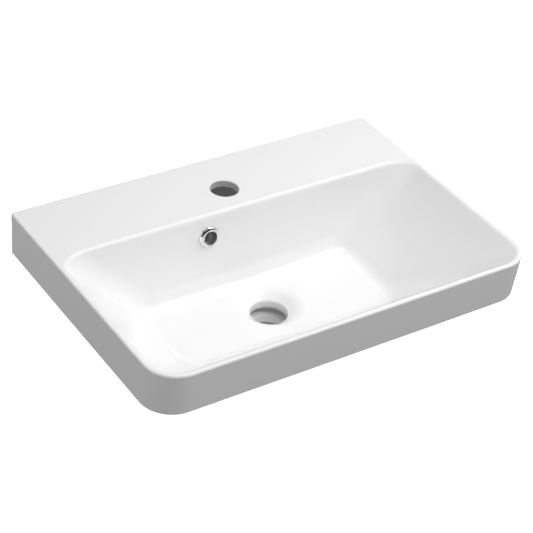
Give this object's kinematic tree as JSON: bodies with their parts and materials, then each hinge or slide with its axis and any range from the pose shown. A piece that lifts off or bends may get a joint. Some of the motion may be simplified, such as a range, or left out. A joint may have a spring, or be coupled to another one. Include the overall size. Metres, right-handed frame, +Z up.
{
  "type": "washbasin",
  "caption": "Rectangular glazed ceramic washbasin with a tap deck, a sloped bowl, an integral overflow and a stepped waste hole.",
  "frame": {"origin": "on the wall face, midway between the two wall fixing holes", "axes": "+X to the right of someone at the basin, -Y towards them, +Z up; the wall is the plane Y = 0"},
  "size_m": [0.506, 0.3518, 0.142],
  "materials": {
    "glaze": "gloss",
    "ring_plating": "polished"
  },
  "bodies": {
    "root": {"ceramic_basin": "glaze", "overflow_ring": "ring_plating"}
  },
  "joints": []
}
